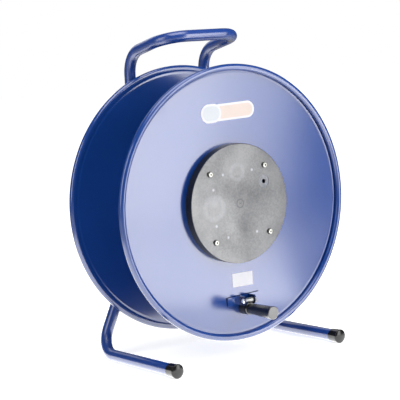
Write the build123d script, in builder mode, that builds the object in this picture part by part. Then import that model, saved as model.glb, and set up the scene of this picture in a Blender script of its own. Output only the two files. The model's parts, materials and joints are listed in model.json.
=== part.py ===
"""Steel cable reel: a pressed steel drum on a bent tube stand, in millimetres.

The origin lies on the floor, under the middle of the whole reel. +X points to the right of
somebody who stands in front of the crank, +Y away from them and +Z up.
"""

from build123d import *
import os
from math import cos, radians, sin

# Drum
FLANGE_D = 380.0
WINDING_WIDTH = 114.8
SHEET = 1.2
CURL_R = 4.6
CURL_END_ANGLE = 215.0
CURL_STEPS = 10
SWAGE_INSET = 10.0
SWAGE_WIDTH = 3.2
SWAGE_DEPTH = 1.0
HUB_HOLE_MARGIN = 8.6
CORE_D = 160.0
CORE_WALL = 1.5
DRUM_TURN = 2.75

# Hub plates
PLATE_D = 164.0
PLATE_RISE = 12.8
PLATE_SKIN = 3.0
PLATE_EDGE_R = 0.8
SCREW_CIRCLE_D = 131.6
SCREW_COUNT = 4
SCREW_FIRST_ANGLE = 45.0
SCREW_HOLE_R = 2.2
SCREW_POST_R = 6.0
RIB_COUNT = 8
RIB_WIDTH = 2.2
BOSS_R = 14.0
BOSS_REACH = 40.0
PASS_HOLE_R = 3.0
PASS_RING_R = 8.8
PASS_RING_DEPTH = 0.5
PASS_RADIUS = 50.4
PASS_ANGLE = 28.8
CENTRE_MARK_R = 1.6
CENTRE_MARK_DEPTH = 0.4

# Axle
AXLE_R = 8.0
RUN_CLEAR = 0.06
END_CLEAR = 0.5
STUD_R = 6.0
STUD_STICKOUT = 2.0
WASHER_R = 12.0
WASHER_T = 2.5
NUT_FLATS = 19.0
NUT_T = 10.0
SPACER_R = 11.5
RING_R = 12.0
RING_T = 1.2
RING_SEAT_R = 7.3

# Crank
STRIP_LENGTH = 56.0
STRIP_WIDTH = 12.5
STRIP_T = 2.2
STRIP_CORNER_R = 1.5
EAR_T = 2.0
EAR_SPAN = 14.8
PIN_INSET = 55.2
PIN_STANDOFF = 12.4
PIN_R = 2.0
PIN_HEAD_R = 3.6
PIN_HEAD_T = 2.0
BARREL_R = 3.2
GRIP_BELOW_PIN = 11.8
FOOT_R = 9.0
FOOT_NECK_CLEAR = 0.5
SPINDLE_R = 3.0
SPINDLE_HEAD_R = 4.6
SPINDLE_HEAD_T = 2.0
GRIP_LENGTH = 53.0
GRIP_BASE_R = 7.2
GRIP_END_R = 9.0
COLLAR_R = 8.6
COLLAR_T = 3.0
GRIP_CAP_T = 2.4
GRIP_CAP_PLUG_R = 6.0
GRIP_CAP_PLUG_T = 3.0
GRIP_EDGE_R = 0.7
GAP = 0.3

# Stand
TUBE_R = 8.0
TUBE_WALL = 1.5
BEND_R = 35.0
FLOOR_GAP = 23.2
UPRIGHT_HALF = 64.5
UPRIGHT_GAP = 6.1
FOOT_HALF = 140.7
TOE_REACH = 47.9
SPLAY_BELOW = 45.6
HAND_GAP = 32.6
BAR_RISE = 21.5
BAR_AHEAD = 8.4
CAP_R = 9.8
CAP_MOUTH_R = 8.9
CAP_SLEEVE = 16.0
CAP_DOME = 3.0
DOME_STEPS = 6
PLATE_BAR_HEIGHT = 50.0
PLATE_BAR_T = 5.0

# Places worked out from the sizes
FLANGE_R = FLANGE_D / 2
CORE_R = CORE_D / 2
HUB_HOLE_R = SCREW_CIRCLE_D / 2 - SCREW_HOLE_R - HUB_HOLE_MARGIN
INNER_FACE = WINDING_WIDTH / 2
OUTER_FACE = INNER_FACE + SHEET
PLATE_FACE = OUTER_FACE + PLATE_RISE
AXLE_HEIGHT = FLANGE_R + FLOOR_GAP
BAR_ABOVE = FLANGE_R + HAND_GAP + TUBE_R
BEND_ABOVE = BAR_ABOVE - BAR_RISE
UPRIGHT_BEHIND = PLATE_FACE + UPRIGHT_GAP + TUBE_R
FOOT_AHEAD = OUTER_FACE + TOE_REACH
PIN_DROP = FLANGE_R - PIN_INSET
GRIP_DROP = PIN_DROP + GRIP_BELOW_PIN
PIN_FORWARD = OUTER_FACE + PIN_STANDOFF
EAR_FACE = EAR_SPAN / 2 + EAR_T
NECK_HALF = EAR_SPAN / 2 - GAP
GRIP_BASE = PIN_FORWARD + GAP
GRIP_TIP = GRIP_BASE + GRIP_LENGTH
BAR_FRONT = -UPRIGHT_BEHIND + PLATE_BAR_T / 2
BAR_BACK = BAR_FRONT - PLATE_BAR_T
STUD_END = BAR_BACK - WASHER_T - NUT_T - STUD_STICKOUT
AXLE_TIP = PLATE_FACE - PLATE_SKIN - END_CLEAR
DRUM_Y = (GRIP_TIP + STUD_END) / 2

# Planes: the drum's own turn is in DISC and CRANK_SIDE, so all that it carries turns with it
CENTRE = (0, DRUM_Y, AXLE_HEIGHT)
TURNED = (cos(radians(DRUM_TURN)), 0, sin(radians(DRUM_TURN)))
DISC = Plane(origin=CENTRE, x_dir=TURNED, z_dir=(0, -1, 0))
STAND = Plane(origin=CENTRE, x_dir=(1, 0, 0), z_dir=(0, -1, 0))
SECTION = Plane(origin=CENTRE, x_dir=(1, 0, 0), z_dir=(0, 0, -1))
CRANK_SIDE = Plane(origin=CENTRE, x_dir=(0, -1, 0), z_dir=(-TURNED[0], 0, -TURNED[2]))
DRUM_AXIS = Axis(CENTRE, (0, -1, 0))


def arc_points(centre, radius, first, last, steps):
    """Points round an arc in a half section, the first and last angle included."""
    angles = [radians(first + (last - first) * step / steps) for step in range(steps + 1)]
    return [
        (centre[0] + radius * cos(angle), centre[1] + radius * sin(angle)) for angle in angles
    ]


def dome_points(radius, height):
    """Points over a rounded end, from its top on the axis down to its rim."""
    angles = [radians(90 * step / DOME_STEPS) for step in range(DOME_STEPS + 1)]
    return [(radius * sin(angle), height * cos(angle)) for angle in angles]


def swage_points(face):
    """The pressed ring's four corners on one face of the sheet, from the middle outwards."""
    ring = FLANGE_R - SWAGE_INSET
    half, crown_half = SWAGE_WIDTH / 2, SWAGE_WIDTH / 4
    return [
        (ring - half, face),
        (ring - crown_half, face + SWAGE_DEPTH),
        (ring + crown_half, face + SWAGE_DEPTH),
        (ring + half, face),
    ]


os.makedirs("parts", exist_ok=True)

# Flanges: a disc with a ring pressed outwards and a rolled edge that curls away from the winding
curl_centre = (FLANGE_R - CURL_R, INNER_FACE + CURL_R)
flange_section = [(HUB_HOLE_R, INNER_FACE)]
flange_section += swage_points(INNER_FACE)
flange_section += arc_points(curl_centre, CURL_R, -90, CURL_END_ANGLE, CURL_STEPS)
flange_section += arc_points(curl_centre, CURL_R - SHEET, CURL_END_ANGLE, -90, CURL_STEPS)
flange_section += reversed(swage_points(OUTER_FACE))
flange_section += [(HUB_HOLE_R, OUTER_FACE)]
for name, side in (("front_flange", 1), ("rear_flange", -1)):
    with BuildPart() as flange:
        with BuildSketch(SECTION):
            with BuildLine():
                Polyline(*[(radius, side * face) for radius, face in flange_section], close=True)
            make_face()
        revolve(axis=DRUM_AXIS)
        with BuildSketch(DISC.offset(side * INNER_FACE)):
            with PolarLocations(SCREW_CIRCLE_D / 2, SCREW_COUNT, SCREW_FIRST_ANGLE):
                Circle(SCREW_HOLE_R)
        extrude(amount=side * SHEET, mode=Mode.SUBTRACT)
    flange.part.label = name
    export_step(flange.part, f"parts/{name}.step")

# Barrel between the flanges, which the cable is wound on
with BuildPart() as core_barrel:
    with BuildSketch(DISC):
        Circle(CORE_R)
        Circle(CORE_R - CORE_WALL, mode=Mode.SUBTRACT)
    extrude(amount=INNER_FACE, both=True)
core_barrel.part.label = "core_barrel"
export_step(core_barrel.part, "parts/core_barrel.step")

# Hub plates: moulded covers with a hollow back, ribs, screw posts and a long boss for the axle
for name, side in (("front_hub_plate", 1), ("rear_hub_plate", -1)):
    seat = side * OUTER_FACE
    deep = PLATE_RISE - PLATE_SKIN
    boss_end = side * (PLATE_FACE - BOSS_REACH)
    bore = BOSS_REACH - PLATE_SKIN if side > 0 else BOSS_REACH
    with BuildPart() as hub_plate:
        with BuildSketch(DISC.offset(seat)):
            Circle(PLATE_D / 2)
        extrude(amount=side * PLATE_RISE)
        outer = hub_plate.faces().sort_by(DRUM_AXIS)[-1 if side > 0 else 0]
        fillet(outer.edges(), PLATE_EDGE_R)
        with BuildSketch(DISC.offset(seat)):
            Circle(PLATE_D / 2 - PLATE_SKIN)
        extrude(amount=side * deep, mode=Mode.SUBTRACT)
        with BuildSketch(DISC.offset(seat)):
            with PolarLocations(0, RIB_COUNT // 2, angular_range=180):
                Rectangle(PLATE_D - 2 * PLATE_SKIN + RIB_WIDTH, RIB_WIDTH)
            with PolarLocations(SCREW_CIRCLE_D / 2, SCREW_COUNT, SCREW_FIRST_ANGLE):
                Circle(SCREW_POST_R)
        extrude(amount=side * (deep + PLATE_SKIN / 2))
        with BuildSketch(DISC.offset(boss_end)):
            Circle(BOSS_R)
        extrude(amount=side * (BOSS_REACH - PLATE_SKIN / 2))
        with BuildSketch(DISC.offset(seat)):
            with PolarLocations(SCREW_CIRCLE_D / 2, SCREW_COUNT, SCREW_FIRST_ANGLE):
                Circle(SCREW_HOLE_R)
        extrude(amount=side * PLATE_RISE, mode=Mode.SUBTRACT)
        with BuildSketch(DISC.offset(boss_end)):
            Circle(AXLE_R + RUN_CLEAR)
        extrude(amount=side * bore, mode=Mode.SUBTRACT)
        if side > 0:
            with BuildSketch(DISC.offset(PLATE_FACE)):
                Circle(CENTRE_MARK_R)
            extrude(amount=-CENTRE_MARK_DEPTH, mode=Mode.SUBTRACT)
            with BuildSketch(DISC.offset(PLATE_FACE)):
                with PolarLocations(PASS_RADIUS, 1, PASS_ANGLE):
                    Circle(PASS_RING_R)
            extrude(amount=-PASS_RING_DEPTH, mode=Mode.SUBTRACT)
            with BuildSketch(DISC.offset(PLATE_FACE)):
                with PolarLocations(PASS_RADIUS, 1, PASS_ANGLE):
                    Circle(PASS_HOLE_R)
            extrude(amount=-PLATE_SKIN, mode=Mode.SUBTRACT)
    hub_plate.part.label = name
    export_step(hub_plate.part, f"parts/{name}.step")

# Crank bracket: a strip on the flange with two ears that stand up from it
ear_low = -PIN_DROP - STRIP_WIDTH / 2
ear_high = -PIN_DROP + STRIP_WIDTH / 2
ear_nose = PIN_FORWARD + STRIP_WIDTH / 2
with BuildPart() as crank_bracket:
    with BuildSketch(DISC.offset(OUTER_FACE)):
        with Locations((0, -PIN_DROP)):
            RectangleRounded(STRIP_LENGTH, STRIP_WIDTH, STRIP_CORNER_R)
    extrude(amount=STRIP_T)
    with BuildSketch(CRANK_SIDE.offset(-EAR_FACE), CRANK_SIDE.offset(EAR_FACE - EAR_T)):
        with BuildLine():
            Line((OUTER_FACE, ear_low), (PIN_FORWARD, ear_low))
            ThreePointArc((PIN_FORWARD, ear_low), (ear_nose, -PIN_DROP), (PIN_FORWARD, ear_high))
            Polyline((PIN_FORWARD, ear_high), (OUTER_FACE, ear_high), (OUTER_FACE, ear_low))
        make_face()
        with Locations((PIN_FORWARD, -PIN_DROP)):
            Circle(PIN_R, mode=Mode.SUBTRACT)
    extrude(amount=EAR_T)
crank_bracket.part.label = "crank_bracket"
export_step(crank_bracket.part, "parts/crank_bracket.step")

# Pivot pin: riveted over both ears with a low domed head at each end
PIN_PLANE = Plane(
    origin=DISC.from_local_coords((0, -PIN_DROP, PIN_FORWARD)),
    x_dir=DISC.y_dir,
    z_dir=DISC.z_dir,
)
pin_section = [(radius, EAR_FACE + height) for radius, height in dome_points(PIN_HEAD_R, PIN_HEAD_T)]
pin_section += [(PIN_R, EAR_FACE)]
pin_section += [(radius, -along) for radius, along in reversed(pin_section)]
with BuildPart() as pivot_pin:
    with BuildSketch(PIN_PLANE):
        with BuildLine():
            Polyline(*pin_section, close=True)
        make_face()
    revolve(axis=Axis(PIN_PLANE.origin, PIN_PLANE.y_dir))
pivot_pin.part.label = "pivot_pin"
export_step(pivot_pin.part, "parts/pivot_pin.step")

# Hinge barrel: the crank's eye round the pin
with BuildPart() as hinge_barrel:
    with BuildSketch(CRANK_SIDE):
        with Locations((PIN_FORWARD, -PIN_DROP)):
            Circle(BARREL_R)
            Circle(PIN_R + RUN_CLEAR, mode=Mode.SUBTRACT)
    extrude(amount=NECK_HALF, both=True)
hinge_barrel.part.label = "hinge_barrel"
export_step(hinge_barrel.part, "parts/hinge_barrel.step")

# Crank foot: a round base that rests against the flange, with a neck up to the hinge barrel
foot_top = -PIN_DROP - STRIP_WIDTH / 2 - FOOT_NECK_CLEAR
with BuildPart() as crank_foot:
    with BuildSketch(DISC.offset(OUTER_FACE + GAP)):
        with Locations((0, -GRIP_DROP)):
            Circle(FOOT_R)
        with Locations((0, foot_top)):
            Rectangle(2 * FOOT_R, FOOT_R, align=(Align.CENTER, Align.MIN), mode=Mode.SUBTRACT)
    extrude(amount=PIN_STANDOFF - GAP)
    with BuildSketch(DISC.offset(OUTER_FACE + STRIP_T + GAP)):
        with Locations((0, -PIN_DROP)):
            Rectangle(2 * NECK_HALF, GRIP_BELOW_PIN, align=(Align.CENTER, Align.MAX))
    extrude(amount=PIN_STANDOFF - STRIP_T - GAP)
    with BuildSketch(CRANK_SIDE):
        with Locations((PIN_FORWARD, -PIN_DROP)):
            Circle(BARREL_R)
    extrude(amount=EAR_FACE, both=True, mode=Mode.SUBTRACT)
    with BuildSketch(DISC.offset(OUTER_FACE + GAP)):
        with Locations((0, -GRIP_DROP)):
            Circle(SPINDLE_R)
    extrude(amount=PIN_STANDOFF - GAP, mode=Mode.SUBTRACT)
crank_foot.part.label = "crank_foot"
export_step(crank_foot.part, "parts/crank_foot.step")

# Spindle: fixed in the foot, with a head that keeps the grip on
GRIP_CENTRE = DISC.from_local_coords((0, -GRIP_DROP, 0))
GRIP_SECTION = Plane(origin=GRIP_CENTRE, x_dir=DISC.x_dir, z_dir=-DISC.y_dir)
GRIP_AXIS = Axis(GRIP_CENTRE, DISC.z_dir)
foot_back = OUTER_FACE + GAP
cap_face = GRIP_TIP - GRIP_CAP_T
plug_face = cap_face - GRIP_CAP_PLUG_T
head_top = plug_face - GAP
head_foot = head_top - SPINDLE_HEAD_T
ledge = head_foot - GAP
with BuildPart() as spindle:
    with BuildSketch(GRIP_SECTION):
        with BuildLine():
            Polyline(
                (0, foot_back),
                (SPINDLE_R, foot_back),
                (SPINDLE_R, head_foot),
                (SPINDLE_HEAD_R, head_foot),
                (SPINDLE_HEAD_R, head_top),
                (0, head_top),
                close=True,
            )
        make_face()
    revolve(axis=GRIP_AXIS)
spindle.part.label = "spindle"
export_step(spindle.part, "parts/spindle.step")

# Grip: a tapered tube with a collar at its foot and a recess for the spindle's head
bore_r = SPINDLE_R + RUN_CLEAR
collar_top = GRIP_BASE + COLLAR_T
with BuildPart() as grip:
    with BuildSketch(GRIP_SECTION):
        with BuildLine():
            Polyline(
                (bore_r, GRIP_BASE),
                (COLLAR_R - GRIP_EDGE_R, GRIP_BASE),
                (COLLAR_R, GRIP_BASE + GRIP_EDGE_R),
                (COLLAR_R, collar_top - GRIP_EDGE_R),
                (COLLAR_R - GRIP_EDGE_R, collar_top),
                (GRIP_BASE_R, collar_top),
                (GRIP_END_R, cap_face),
                (GRIP_CAP_PLUG_R, cap_face),
                (GRIP_CAP_PLUG_R, ledge),
                (bore_r, ledge),
                close=True,
            )
        make_face()
    revolve(axis=GRIP_AXIS)
grip.part.label = "grip"
export_step(grip.part, "parts/grip.step")

# Grip cap: a flat disc with a plug that closes the grip's end
with BuildPart() as grip_cap:
    with BuildSketch(GRIP_SECTION):
        with BuildLine():
            Polyline(
                (0, plug_face),
                (GRIP_CAP_PLUG_R, plug_face),
                (GRIP_CAP_PLUG_R, cap_face),
                (GRIP_END_R, cap_face),
                (GRIP_END_R, GRIP_TIP - GRIP_EDGE_R),
                (GRIP_END_R - GRIP_EDGE_R, GRIP_TIP),
                (0, GRIP_TIP),
                close=True,
            )
        make_face()
    revolve(axis=GRIP_AXIS)
grip_cap.part.label = "grip_cap"
export_step(grip_cap.part, "parts/grip_cap.step")

# Stand tube: one bent tube, from the left foot over the handle to the right foot
back = DRUM_Y + UPRIGHT_BEHIND
toe = DRUM_Y - FOOT_AHEAD + CAP_DOME
foot_slope = (CAP_R - TUBE_R) / (back - BEND_R - toe)
right_side = [
    (UPRIGHT_HALF, DRUM_Y - BAR_AHEAD, AXLE_HEIGHT + BAR_ABOVE),
    (UPRIGHT_HALF, back, AXLE_HEIGHT + BEND_ABOVE),
    (UPRIGHT_HALF, back, AXLE_HEIGHT - SPLAY_BELOW),
    (FOOT_HALF, back, TUBE_R - foot_slope * BEND_R),
    (FOOT_HALF, toe, CAP_R),
]
tube_corners = [(-x, y, z) for x, y, z in reversed(right_side)] + right_side
with BuildPart() as frame_tube:
    with BuildLine() as route:
        FilletPolyline(*tube_corners, radius=BEND_R)
    with BuildSketch(Plane(origin=route.line @ 0, z_dir=route.line % 0)):
        Circle(TUBE_R)
        Circle(TUBE_R - TUBE_WALL, mode=Mode.SUBTRACT)
    sweep(path=route.line)
frame_tube.part.label = "frame_tube"
export_step(frame_tube.part, "parts/frame_tube.step")

# Foot caps: pressed over the tube's ends, wider at the low domed face than at the mouth
cap_section = dome_points(CAP_R, CAP_DOME)
cap_section += [(CAP_MOUTH_R, -CAP_SLEEVE), (TUBE_R, -CAP_SLEEVE), (TUBE_R, 0), (0, 0)]
for name, tube_end, behind in (
    ("foot_cap_left", tube_corners[0], tube_corners[1]),
    ("foot_cap_right", tube_corners[-1], tube_corners[-2]),
):
    outward = (Vector(tube_end) - Vector(behind)).normalized()
    across = outward.cross(Vector(0, 0, 1)).normalized()
    with BuildPart() as foot_cap:
        with BuildSketch(Plane(origin=tube_end, x_dir=across, z_dir=across.cross(outward))):
            with BuildLine():
                Polyline(*cap_section, close=True)
            make_face()
        revolve(axis=Axis(tube_end, outward))
    foot_cap.part.label = name
    export_step(foot_cap.part, f"parts/{name}.step")

# Axle plate: a flat bar welded between the uprights, its ends hollowed to fit the tube
with BuildPart() as axle_plate:
    with BuildSketch(STAND.offset(BAR_BACK)):
        Rectangle(2 * UPRIGHT_HALF, PLATE_BAR_HEIGHT)
        Circle(STUD_R, mode=Mode.SUBTRACT)
    extrude(amount=PLATE_BAR_T)
    with BuildSketch(Plane.XY.offset(AXLE_HEIGHT)):
        with Locations((-UPRIGHT_HALF, back), (UPRIGHT_HALF, back)):
            Circle(TUBE_R)
    extrude(amount=PLATE_BAR_HEIGHT, both=True, mode=Mode.SUBTRACT)
axle_plate.part.label = "axle_plate"
export_step(axle_plate.part, "parts/axle_plate.step")

# Axle: a shouldered pin with a stud through the plate and a groove for its retaining ring
ring_low = -PLATE_FACE + BOSS_REACH + GAP
ring_high = ring_low + RING_T
with BuildPart() as axle:
    with BuildSketch(SECTION):
        with BuildLine():
            Polyline(
                (0, STUD_END),
                (STUD_R, STUD_END),
                (STUD_R, BAR_FRONT),
                (AXLE_R, BAR_FRONT),
                (AXLE_R, ring_low),
                (RING_SEAT_R, ring_low),
                (RING_SEAT_R, ring_high),
                (AXLE_R, ring_high),
                (AXLE_R, AXLE_TIP),
                (0, AXLE_TIP),
                close=True,
            )
        make_face()
    revolve(axis=DRUM_AXIS)
axle.part.label = "axle"
export_step(axle.part, "parts/axle.step")

with BuildPart() as axle_spacer:
    with BuildSketch(STAND.offset(BAR_FRONT)):
        Circle(SPACER_R)
        Circle(AXLE_R, mode=Mode.SUBTRACT)
    extrude(amount=-PLATE_FACE - GAP - BAR_FRONT)
axle_spacer.part.label = "axle_spacer"
export_step(axle_spacer.part, "parts/axle_spacer.step")

with BuildPart() as retaining_ring:
    with BuildSketch(STAND.offset(ring_low)):
        Circle(RING_R)
        Circle(RING_SEAT_R, mode=Mode.SUBTRACT)
    extrude(amount=RING_T)
retaining_ring.part.label = "retaining_ring"
export_step(retaining_ring.part, "parts/retaining_ring.step")

with BuildPart() as axle_washer:
    with BuildSketch(STAND.offset(BAR_BACK)):
        Circle(WASHER_R)
        Circle(STUD_R, mode=Mode.SUBTRACT)
    extrude(amount=-WASHER_T)
axle_washer.part.label = "axle_washer"
export_step(axle_washer.part, "parts/axle_washer.step")

with BuildPart() as axle_nut:
    with BuildSketch(STAND.offset(BAR_BACK - WASHER_T)):
        RegularPolygon(NUT_FLATS / 2, 6, major_radius=False)
        Circle(STUD_R, mode=Mode.SUBTRACT)
    extrude(amount=-NUT_T)
axle_nut.part.label = "axle_nut"
export_step(axle_nut.part, "parts/axle_nut.step")
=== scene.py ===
import json
from math import cos, pi, radians, sin

import bmesh
import bpy
from bpy.props import (
    FloatProperty,
    FloatVectorProperty,
    IntProperty,
    PointerProperty,
)
from mathutils import Matrix, Quaternion, Vector


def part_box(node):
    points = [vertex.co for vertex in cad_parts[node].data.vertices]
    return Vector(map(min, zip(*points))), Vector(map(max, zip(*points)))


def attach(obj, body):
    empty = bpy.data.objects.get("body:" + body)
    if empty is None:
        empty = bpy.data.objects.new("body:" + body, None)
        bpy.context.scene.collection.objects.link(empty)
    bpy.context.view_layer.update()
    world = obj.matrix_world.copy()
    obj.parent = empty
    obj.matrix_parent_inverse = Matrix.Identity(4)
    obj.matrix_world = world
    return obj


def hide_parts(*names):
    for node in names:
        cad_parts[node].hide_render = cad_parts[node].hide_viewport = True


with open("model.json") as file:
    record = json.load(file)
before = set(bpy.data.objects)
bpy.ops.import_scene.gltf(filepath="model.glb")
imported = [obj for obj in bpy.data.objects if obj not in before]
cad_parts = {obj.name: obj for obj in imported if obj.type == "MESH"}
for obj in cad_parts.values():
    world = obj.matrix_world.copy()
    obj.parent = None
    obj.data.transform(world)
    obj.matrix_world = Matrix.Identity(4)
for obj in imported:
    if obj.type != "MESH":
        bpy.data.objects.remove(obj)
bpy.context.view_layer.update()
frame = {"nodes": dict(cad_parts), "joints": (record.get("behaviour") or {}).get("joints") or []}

bl_info = {
    "name": "Steel cable reel",
    "version": (1, 0, 0),
    "blender": (4, 5, 0),
    "location": "View3D > Sidebar > Cable reel",
    "description": "Finishes an empty steel cable reel and sets up its studio",
    "category": "Object",
}

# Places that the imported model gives
DRUM_CENTRE = Vector(next(j for j in frame["joints"] if j["name"] == "drum_spin")["pos_m"])
FLANGE_LOW, FLANGE_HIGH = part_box("front_flange")
FLANGE_RADIUS = (FLANGE_HIGH.x - FLANGE_LOW.x) / 2
PLATE_FACE = DRUM_CENTRE.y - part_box("front_hub_plate")[0].y
TUBE_LOW, TUBE_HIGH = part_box("frame_tube")
CAP_LOW, CAP_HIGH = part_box("foot_cap_left")
CAP_RADIUS = (CAP_HIGH.x - CAP_LOW.x) / 2
LEG_SPREAD = (CAP_LOW.x + CAP_HIGH.x) / -2
CORE_LOW, CORE_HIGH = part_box("core_barrel")
INNER_FACE = (CORE_HIGH.y - CORE_LOW.y) / 2
DRUM_TURN = radians(2.75)

# Points closer than this are one point, where a turned mesh meets itself
SEAM = 1e-7
CREASE = radians(35)


# Small helpers for meshes and node trees


class Wiring:
    """Adds nodes to one tree and joins them."""

    def __init__(self, tree):
        self.tree = tree

    def add(self, kind, inputs=None, **settings):
        """A new node with its settings, and with values or other nodes' sockets at its inputs."""
        node = self.tree.nodes.new(kind)
        for name, value in settings.items():
            setattr(node, name, value)
        for key, value in (inputs or {}).items():
            socket = node.inputs[key]
            if isinstance(value, bpy.types.NodeSocket):
                self.tree.links.new(value, socket)
            else:
                socket.default_value = value
        return node

    def math(self, operation, first, second=0.0, clamp=False):
        """The result of a Math node."""
        node = self.add("ShaderNodeMath", {0: first, 1: second}, operation=operation)
        node.use_clamp = clamp
        return node.outputs[0]

    def vector(self, operation, first, second=(0.0, 0.0, 0.0)):
        """The Vector Math node for an operation."""
        return self.add("ShaderNodeVectorMath", {0: first, 1: second}, operation=operation)

    def step(self, value, low, high, at_low=0.0, at_high=1.0):
        """A smooth change from one number to another while a value runs from low to high."""
        node = self.add(
            "ShaderNodeMapRange",
            {0: value, 1: low, 2: high, 3: at_low, 4: at_high},
            interpolation_type="SMOOTHSTEP",
        )
        return node.outputs[0]


def cleared(owner):
    """The emptied node tree of a material or world, and its wiring."""
    owner.use_nodes = True
    owner.node_tree.nodes.clear()
    return owner.node_tree, Wiring(owner.node_tree)


def group_once(name, build):
    """A node group, built when it is first asked for."""
    return bpy.data.node_groups.get(name) or build()


def add_object(name, data):
    """A new object in the scene."""
    piece = bpy.data.objects.new(name, data)
    bpy.context.scene.collection.objects.link(piece)
    return piece


def direction(azimuth, elevation):
    """The way from the drum's middle to a lamp or the camera, angles in radians."""
    return Vector(
        (sin(azimuth) * cos(elevation), -cos(azimuth) * cos(elevation), sin(elevation))
    )


def new_tree(name, kind, inputs, outputs):
    """A node group with named sockets, its wiring, and its input and output nodes."""
    tree = bpy.data.node_groups.new(name, kind)
    for label, socket_type, default in inputs:
        socket = tree.interface.new_socket(name=label, in_out="INPUT", socket_type=socket_type)
        if default is not None:
            socket.default_value = default
    for label, socket_type in outputs:
        tree.interface.new_socket(name=label, in_out="OUTPUT", socket_type=socket_type)
    wiring = Wiring(tree)
    return tree, wiring, wiring.add("NodeGroupInput"), wiring.add("NodeGroupOutput")


def object_from_line(name, points):
    """An object whose mesh is only a line of points, which a node tree builds on."""
    mesh = bpy.data.meshes.new(name)
    mesh.from_pydata(points, [(index, index + 1) for index in range(len(points) - 1)], [])
    return add_object(name, mesh)


def grow(piece, tree, values):
    """Runs a node tree on a piece and turns what it makes into the piece's plain mesh."""
    modifier = piece.modifiers.new(tree.name, "NODES")
    modifier.node_group = tree
    for item in tree.interface.items_tree:
        if item.item_type == "SOCKET" and item.in_out == "INPUT" and item.name in values:
            modifier[item.identifier] = values[item.name]
    bpy.context.view_layer.update()
    made = piece.evaluated_get(bpy.context.evaluated_depsgraph_get())
    mesh = bpy.data.meshes.new_from_object(made)
    piece.modifiers.remove(modifier)
    old = piece.data
    piece.data = mesh
    mesh.name = piece.name
    if old.users == 0:
        bpy.data.meshes.remove(old)
    if not mesh.polygons:
        raise RuntimeError(f"{piece.name} came out empty")
    return piece


def settle(piece, matrix):
    """Merges a mesh's seam, turns its faces outwards and puts its place into its points."""
    shell = bmesh.new()
    shell.from_mesh(piece.data)
    bmesh.ops.remove_doubles(shell, verts=shell.verts, dist=SEAM)
    bmesh.ops.recalc_face_normals(shell, faces=shell.faces)
    bmesh.ops.transform(shell, matrix=matrix, verts=shell.verts)
    shell.to_mesh(piece.data)
    shell.free()
    return piece


def disc_matrix(forward, turn=DRUM_TURN, side=1.0):
    """Local x to the right, y up and z out of the drum, at a distance ahead of its middle."""
    right = Vector((cos(turn), 0.0, sin(turn)))
    out = Vector((0.0, -1.0, 0.0)) * side
    upward = out.cross(right)
    origin = DRUM_CENTRE + Vector((0.0, -forward, 0.0))
    return Matrix.Translation(origin) @ Matrix((right, upward, out)).transposed().to_4x4()


# Geometry trees


def turned_section_tree():
    """A half section turned round its axis: section points are (radius, height) in x and y."""
    tree, wiring, source, target = new_tree(
        "Turned section",
        "GeometryNodeTree",
        [
            ("Section", "NodeSocketGeometry", None),
            ("Section Points", "NodeSocketInt", 2),
            ("Ring Steps", "NodeSocketInt", 64),
            ("Crease Angle", "NodeSocketFloat", CREASE),
            ("Material", "NodeSocketMaterial", None),
        ],
        [("Turned", "NodeSocketGeometry")],
    )
    around = wiring.math("ADD", source.outputs["Ring Steps"], 1.0)
    grid = wiring.add(
        "GeometryNodeMeshGrid",
        {"Vertices X": source.outputs["Section Points"], "Vertices Y": around},
    )
    index = wiring.add("GeometryNodeInputIndex").outputs[0]
    along = wiring.math("FLOOR", wiring.math("DIVIDE", wiring.math("ADD", index, 0.5), around))
    step = wiring.math("SUBTRACT", index, wiring.math("MULTIPLY", along, around))
    place = wiring.add("GeometryNodeInputPosition").outputs[0]
    sample = wiring.add(
        "GeometryNodeSampleIndex",
        {"Geometry": source.outputs["Section"], "Value": place, "Index": along},
        data_type="FLOAT_VECTOR",
        domain="POINT",
    )
    section = wiring.add("ShaderNodeSeparateXYZ", {0: sample.outputs[0]})
    turn = wiring.math(
        "MULTIPLY", wiring.math("DIVIDE", step, source.outputs["Ring Steps"]), 2 * pi
    )
    point = wiring.add(
        "ShaderNodeCombineXYZ",
        {
            0: wiring.math("MULTIPLY", section.outputs[0], wiring.math("COSINE", turn)),
            1: wiring.math("MULTIPLY", section.outputs[0], wiring.math("SINE", turn)),
            2: section.outputs[1],
        },
    )
    placed = wiring.add(
        "GeometryNodeSetPosition",
        {"Geometry": grid.outputs["Mesh"], "Position": point.outputs[0]},
    )
    merged = wiring.add(
        "GeometryNodeMergeByDistance", {"Geometry": placed.outputs[0], "Distance": 1e-6}
    )
    finish_tree(wiring, merged.outputs[0], source, target)
    return tree


def finish_tree(wiring, geometry, source, target):
    """Smooth faces with creases, real instances and the material, as every tree here ends."""
    edge = wiring.add("GeometryNodeInputMeshEdgeAngle").outputs["Unsigned Angle"]
    soft = wiring.add(
        "FunctionNodeCompare", {0: edge, 1: source.outputs["Crease Angle"]}, operation="LESS_THAN"
    )
    faces = wiring.add("GeometryNodeSetShadeSmooth", {"Geometry": geometry}, domain="FACE")
    edges = wiring.add(
        "GeometryNodeSetShadeSmooth",
        {"Geometry": faces.outputs[0], "Shade Smooth": soft.outputs[0]},
        domain="EDGE",
    )
    real = wiring.add("GeometryNodeRealizeInstances", {"Geometry": edges.outputs[0]})
    painted = wiring.add(
        "GeometryNodeSetMaterial",
        {"Geometry": real.outputs[0], "Material": source.outputs["Material"]},
    )
    wiring.tree.links.new(painted.outputs[0], target.inputs[0])


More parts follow.
